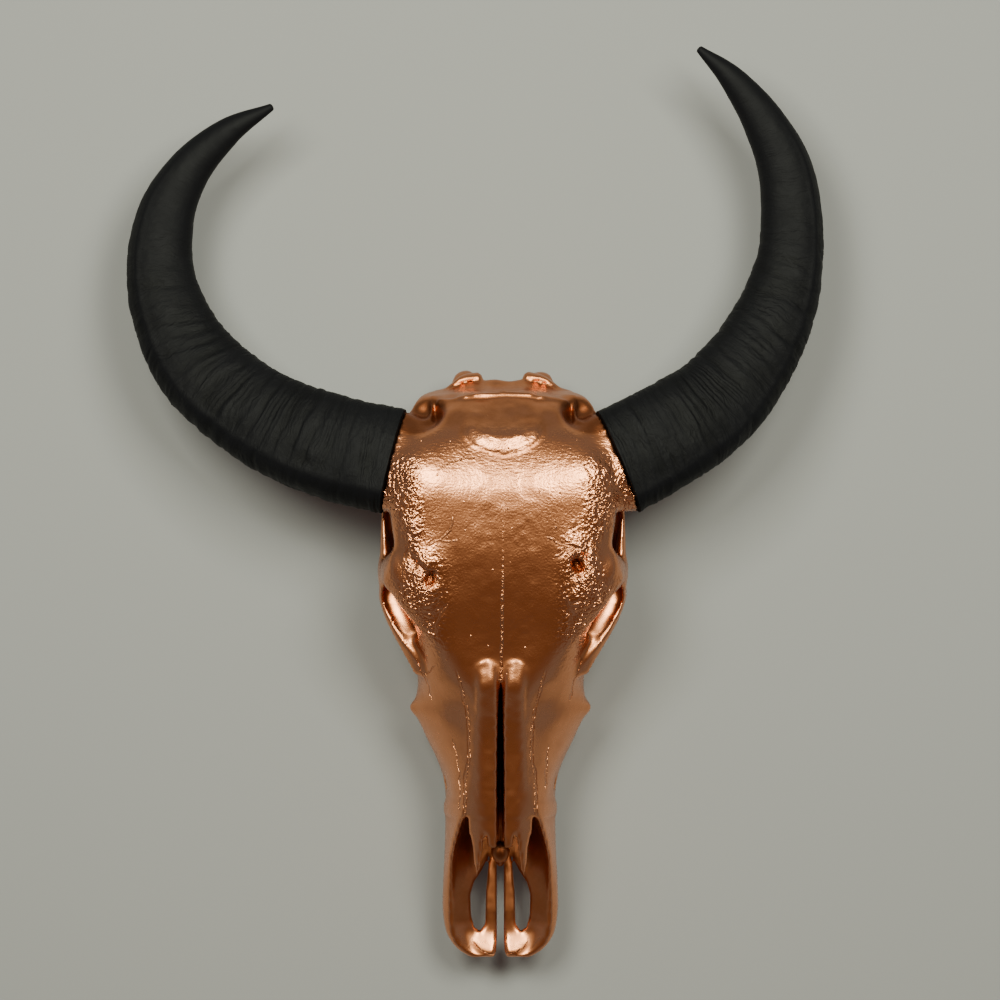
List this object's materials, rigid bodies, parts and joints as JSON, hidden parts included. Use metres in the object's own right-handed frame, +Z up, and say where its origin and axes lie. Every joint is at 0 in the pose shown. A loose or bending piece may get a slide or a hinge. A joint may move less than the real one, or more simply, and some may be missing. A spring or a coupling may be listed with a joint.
{
  "type": "water buffalo skull",
  "caption": "Water buffalo skull without its lower jaw, copper-coloured bone with matte black ringed horns that sweep out and curve in at the tips.",
  "frame": {"origin": "middle of the skull's floor area, in the plane that the cheek teeth stand on", "axes": "-Y towards the snout, +Y towards the neck joint and the horn tips, +X the animal's left, +Z up out of the forehead"},
  "size_m": [0.5822, 0.761, 0.1667],
  "materials": {
    "copper_coated_bone": "gloss",
    "black_horn": "matte"
  },
  "bodies": {
    "root": {"cranium": "copper_coated_bone", "horn_left": "black_horn", "horn_right": "black_horn", "premolar_2_left": "copper_coated_bone", "premolar_2_right": "copper_coated_bone", "premolar_3_left": "copper_coated_bone", "premolar_3_right": "copper_coated_bone", "premolar_4_left": "copper_coated_bone", "premolar_4_right": "copper_coated_bone", "molar_1_left": "copper_coated_bone", "molar_1_right": "copper_coated_bone", "molar_2_left": "copper_coated_bone", "molar_2_right": "copper_coated_bone", "molar_3_left": "copper_coated_bone", "molar_3_right": "copper_coated_bone"}
  },
  "joints": []
}
